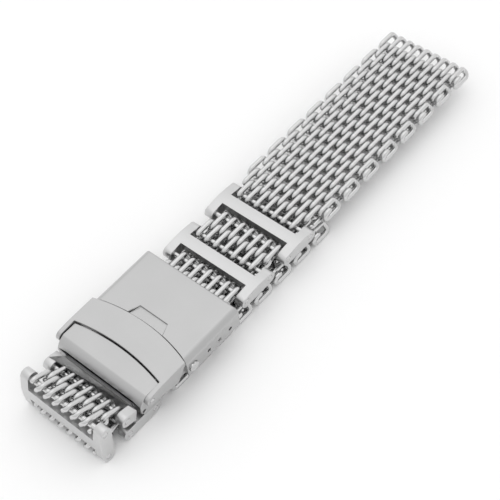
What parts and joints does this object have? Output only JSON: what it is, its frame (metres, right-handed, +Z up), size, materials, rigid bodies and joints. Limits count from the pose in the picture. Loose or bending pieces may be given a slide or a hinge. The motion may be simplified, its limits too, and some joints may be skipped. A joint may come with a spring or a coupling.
{
  "type": "watch bracelet",
  "caption": "Heavy woven steel mesh watch bracelet, folded flat, with H-shaped joining frames and a closed folding clasp that has side push buttons and a flip lock.",
  "frame": {"origin": "middle of the outline seen from above, on the surface that the folded bracelet lies on", "axes": "+X along the band from the clasp's tail towards the free ends, +Y across the band, +Z up out of the clasp cover"},
  "size_m": [0.1243, 0.0266, 0.0109],
  "materials": {
    "polished_steel": "polished stainless steel wire and pins",
    "satin_steel": "fine satin stainless steel"
  },
  "bodies": {
    "clasp_tail": {"clasp_tail": "satin_steel", "lower_blade": "satin_steel", "flip_lock_pin": "polished_steel", "blade_hinge_pin": "polished_steel", "tail_spring_bar": "polished_steel"},
    "middle_blade": {"middle_blade": "satin_steel", "cover_hinge_pin": "polished_steel"},
    "cover": {"clasp_cover": "satin_steel", "adjust_spring_bar": "polished_steel"},
    "flip_lock": {"flip_lock": "satin_steel"},
    "button_left": {"button_left": "polished_steel"},
    "button_right": {"button_right": "polished_steel"},
    "upper_end_link": {"upper_end_link": "satin_steel", "upper_end_link_pin": "polished_steel"},
    "upper_row_1": {"upper_row_1": "polished_steel"},
    "upper_row_2": {"upper_row_2": "polished_steel"},
    "upper_frame_1": {"upper_frame_1": "satin_steel", "upper_frame_1_pins": "polished_steel"},
    "upper_row_3": {"upper_row_3": "polished_steel"},
    "upper_row_4": {"upper_row_4": "polished_steel"},
    "upper_frame_2": {"upper_frame_2": "satin_steel", "upper_frame_2_pins": "polished_steel"},
    "upper_row_5": {"upper_row_5": "polished_steel"},
    "upper_mesh_1": {"upper_mesh_1": "polished_steel"},
    "upper_mesh_2": {"upper_mesh_2": "polished_steel"},
    "upper_mesh_3": {"upper_mesh_3": "polished_steel"},
    "upper_mesh_4": {"upper_mesh_4": "polished_steel"},
    "upper_mesh_5": {"upper_mesh_5": "polished_steel"},
    "upper_mesh_6": {"upper_mesh_6": "polished_steel"},
    "upper_mesh_7": {"upper_mesh_7": "polished_steel"},
    "upper_mesh_8": {"upper_mesh_8": "polished_steel"},
    "lower_end_link": {"lower_end_link": "satin_steel", "lower_end_link_pin": "polished_steel"},
    "lower_row_1": {"lower_row_1": "polished_steel"},
    "lower_row_2": {"lower_row_2": "polished_steel"},
    "lower_frame_1": {"lower_frame_1": "satin_steel", "lower_frame_1_pins": "polished_steel"},
    "lower_row_3": {"lower_row_3": "polished_steel"},
    "lower_row_4": {"lower_row_4": "polished_steel"},
    "lower_frame_2": {"lower_frame_2": "satin_steel", "lower_frame_2_pins": "polished_steel"},
    "lower_row_5": {"lower_row_5": "polished_steel"},
    "lower_mesh_1": {"lower_mesh_1": "polished_steel"},
    "lower_mesh_2": {"lower_mesh_2": "polished_steel"},
    "lower_mesh_3": {"lower_mesh_3": "polished_steel"},
    "lower_mesh_4": {"lower_mesh_4": "polished_steel"},
    "lower_mesh_5": {"lower_mesh_5": "polished_steel"},
    "lower_mesh_6": {"lower_mesh_6": "polished_steel"},
    "lower_mesh_7": {"lower_mesh_7": "polished_steel"},
    "lower_mesh_8": {"lower_mesh_8": "polished_steel"}
  },
  "joints": [
    {"name": "cover_fold", "type": "hinge", "parent": "middle_blade", "child": "cover", "pos_m": [-0.03955, 0, 0.0054], "axis": [0, -1, 0], "range_deg": [0, 120]},
    {"name": "flip_lock_swing", "type": "hinge", "parent": "clasp_tail", "child": "flip_lock", "pos_m": [-0.04825, 0, 0.008], "axis": [0, -1, 0], "range_deg": [0, 120]},
    {"name": "blade_lift", "type": "hinge", "parent": "clasp_tail", "child": "middle_blade", "pos_m": [-0.03195, 0, 0.0045], "axis": [0, 1, 0], "range_deg": [0, 60]},
    {"name": "button_right_press", "type": "slide", "parent": "cover", "child": "button_right", "axis": [0, 1, 0], "range_m": [0, 0.0008], "stiffness_N_per_m": 200, "springref_m": -0.0003},
    {"name": "button_left_press", "type": "slide", "parent": "cover", "child": "button_left", "axis": [0, -1, 0], "range_m": [0, 0.0008], "stiffness_N_per_m": 200, "springref_m": -0.0003},
    {"name": "upper_end_link_hinge", "type": "hinge", "parent": "cover", "child": "upper_end_link", "pos_m": [-0.02865, 0, 0.0056], "axis": [0, 1, 0], "range_deg": [-5, 0]},
    {"name": "upper_row_1_hinge", "type": "hinge", "parent": "upper_end_link", "child": "upper_row_1", "pos_m": [-0.02445, 0, 0.0056], "axis": [0, 1, 0], "range_deg": [-10, 0]},
    {"name": "upper_row_2_hinge", "type": "hinge", "parent": "upper_row_1", "child": "upper_row_2", "pos_m": [-0.02133, 0, 0.0056], "axis": [0, 1, 0], "range_deg": [-12, 0]},
    {"name": "upper_frame_1_hinge", "type": "hinge", "parent": "upper_row_2", "child": "upper_frame_1", "pos_m": [-0.01822, 0, 0.0056], "axis": [0, 1, 0], "range_deg": [-12, 0]},
    {"name": "upper_row_3_hinge", "type": "hinge", "parent": "upper_frame_1", "child": "upper_row_3", "pos_m": [-0.01092, 0, 0.0056], "axis": [0, 1, 0], "range_deg": [-12, 0]},
    {"name": "upper_row_4_hinge", "type": "hinge", "parent": "upper_row_3", "child": "upper_row_4", "pos_m": [-0.0078, 0, 0.0056], "axis": [0, 1, 0], "range_deg": [-12, 0]},
    {"name": "upper_frame_2_hinge", "type": "hinge", "parent": "upper_row_4", "child": "upper_frame_2", "pos_m": [-0.00469, 0, 0.0056], "axis": [0, 1, 0], "range_deg": [-12, 0]},
    {"name": "upper_row_5_hinge", "type": "hinge", "parent": "upper_frame_2", "child": "upper_row_5", "pos_m": [0.00261, 0, 0.0056], "axis": [0, 1, 0], "range_deg": [-12, 0]},
    {"name": "upper_mesh_1_hinge", "type": "hinge", "parent": "upper_row_5", "child": "upper_mesh_1", "pos_m": [0.00573, 0, 0.0056], "axis": [0, 1, 0], "range_deg": [-12, 0]},
    {"name": "upper_mesh_2_hinge", "type": "hinge", "parent": "upper_mesh_1", "child": "upper_mesh_2", "pos_m": [0.01263, 0, 0.0056], "axis": [0, 1, 0], "range_deg": [-12, 12]},
    {"name": "upper_mesh_3_hinge", "type": "hinge", "parent": "upper_mesh_2", "child": "upper_mesh_3", "pos_m": [0.01953, 0, 0.0056], "axis": [0, 1, 0], "range_deg": [-12, 12]},
    {"name": "upper_mesh_4_hinge", "type": "hinge", "parent": "upper_mesh_3", "child": "upper_mesh_4", "pos_m": [0.02643, 0, 0.0056], "axis": [0, 1, 0], "range_deg": [-12, 12]},
    {"name": "upper_mesh_5_hinge", "type": "hinge", "parent": "upper_mesh_4", "child": "upper_mesh_5", "pos_m": [0.03333, 0, 0.0056], "axis": [0, 1, 0], "range_deg": [-12, 12]},
    {"name": "upper_mesh_6_hinge", "type": "hinge", "parent": "upper_mesh_5", "child": "upper_mesh_6", "pos_m": [0.04023, 0, 0.0056], "axis": [0, 1, 0], "range_deg": [-12, 12]},
    {"name": "upper_mesh_7_hinge", "type": "hinge", "parent": "upper_mesh_6", "child": "upper_mesh_7", "pos_m": [0.04713, 0, 0.0056], "axis": [0, 1, 0], "range_deg": [-12, 12]},
    {"name": "upper_mesh_8_hinge", "type": "hinge", "parent": "upper_mesh_7", "child": "upper_mesh_8", "pos_m": [0.05403, 0, 0.0056], "axis": [0, 1, 0], "range_deg": [-12, 12]},
    {"name": "lower_end_link_hinge", "type": "hinge", "parent": "clasp_tail", "child": "lower_end_link", "pos_m": [-0.04995, 0, 0.005], "axis": [0, -1, 0], "range_deg": [-10, 0]},
    {"name": "lower_row_1_hinge", "type": "hinge", "parent": "lower_end_link", "child": "lower_row_1", "pos_m": [-0.05401, 0, 0.00609], "axis": [0, -1, 0], "range_deg": [-12, 0]},
    {"name": "lower_row_2_hinge", "type": "hinge", "parent": "lower_row_1", "child": "lower_row_2", "pos_m": [-0.05681, 0, 0.00745], "axis": [0, -1, 0], "range_deg": [-12, 0]},
    {"name": "lower_frame_1_hinge", "type": "hinge", "parent": "lower_row_2", "child": "lower_frame_1", "pos_m": [-0.05961, 0, 0.00881], "axis": [0, -1, 0], "range_deg": [-60, 0]},
    {"name": "lower_row_3_hinge", "type": "hinge", "parent": "lower_frame_1", "child": "lower_row_3", "pos_m": [-0.0605, 0, 0.00156], "axis": [0, -1, 0], "range_deg": [-60, 0]},
    {"name": "lower_row_4_hinge", "type": "hinge", "parent": "lower_row_3", "child": "lower_row_4", "pos_m": [-0.05739, 0, 0.00156], "axis": [0, -1, 0], "range_deg": [-12, 0]},
    {"name": "lower_frame_2_hinge", "type": "hinge", "parent": "lower_row_4", "child": "lower_frame_2", "pos_m": [-0.05427, 0, 0.00156], "axis": [0, -1, 0], "range_deg": [-12, 0]},
    {"name": "lower_row_5_hinge", "type": "hinge", "parent": "lower_frame_2", "child": "lower_row_5", "pos_m": [-0.04697, 0, 0.00156], "axis": [0, -1, 0], "range_deg": [-12, 0]},
    {"name": "lower_mesh_1_hinge", "type": "hinge", "parent": "lower_row_5", "child": "lower_mesh_1", "pos_m": [-0.04386, 0, 0.00156], "axis": [0, -1, 0], "range_deg": [-12, 0]},
    {"name": "lower_mesh_2_hinge", "type": "hinge", "parent": "lower_mesh_1", "child": "lower_mesh_2", "pos_m": [-0.03726, 0, 0.00156], "axis": [0, -1, 0], "range_deg": [-12, 0]},
    {"name": "lower_mesh_3_hinge", "type": "hinge", "parent": "lower_mesh_2", "child": "lower_mesh_3", "pos_m": [-0.03076, 0, 0.00156], "axis": [0, -1, 0], "range_deg": [-12, 0]},
    {"name": "lower_mesh_4_hinge", "type": "hinge", "parent": "lower_mesh_3", "child": "lower_mesh_4", "pos_m": [-0.02426, 0, 0.00156], "axis": [0, -1, 0], "range_deg": [-12, 0]},
    {"name": "lower_mesh_5_hinge", "type": "hinge", "parent": "lower_mesh_4", "child": "lower_mesh_5", "pos_m": [-0.01776, 0, 0.00156], "axis": [0, -1, 0], "range_deg": [-12, 0]},
    {"name": "lower_mesh_6_hinge", "type": "hinge", "parent": "lower_mesh_5", "child": "lower_mesh_6", "pos_m": [-0.01126, 0, 0.00156], "axis": [0, -1, 0], "range_deg": [-12, 0]},
    {"name": "lower_mesh_7_hinge", "type": "hinge", "parent": "lower_mesh_6", "child": "lower_mesh_7", "pos_m": [-0.00476, 0, 0.00156], "axis": [0, -1, 0], "range_deg": [-12, 0]},
    {"name": "lower_mesh_8_hinge", "type": "hinge", "parent": "lower_mesh_7", "child": "lower_mesh_8", "pos_m": [0.00174, 0, 0.00156], "axis": [0, -1, 0], "range_deg": [-12, 0]}
  ],
  "couplings": [
    {"joint": "flip_lock_swing", "follows": "cover_fold", "ratio": 1},
    {"joint": "blade_lift", "follows": "cover_fold", "ratio": 0.5}
  ]
}
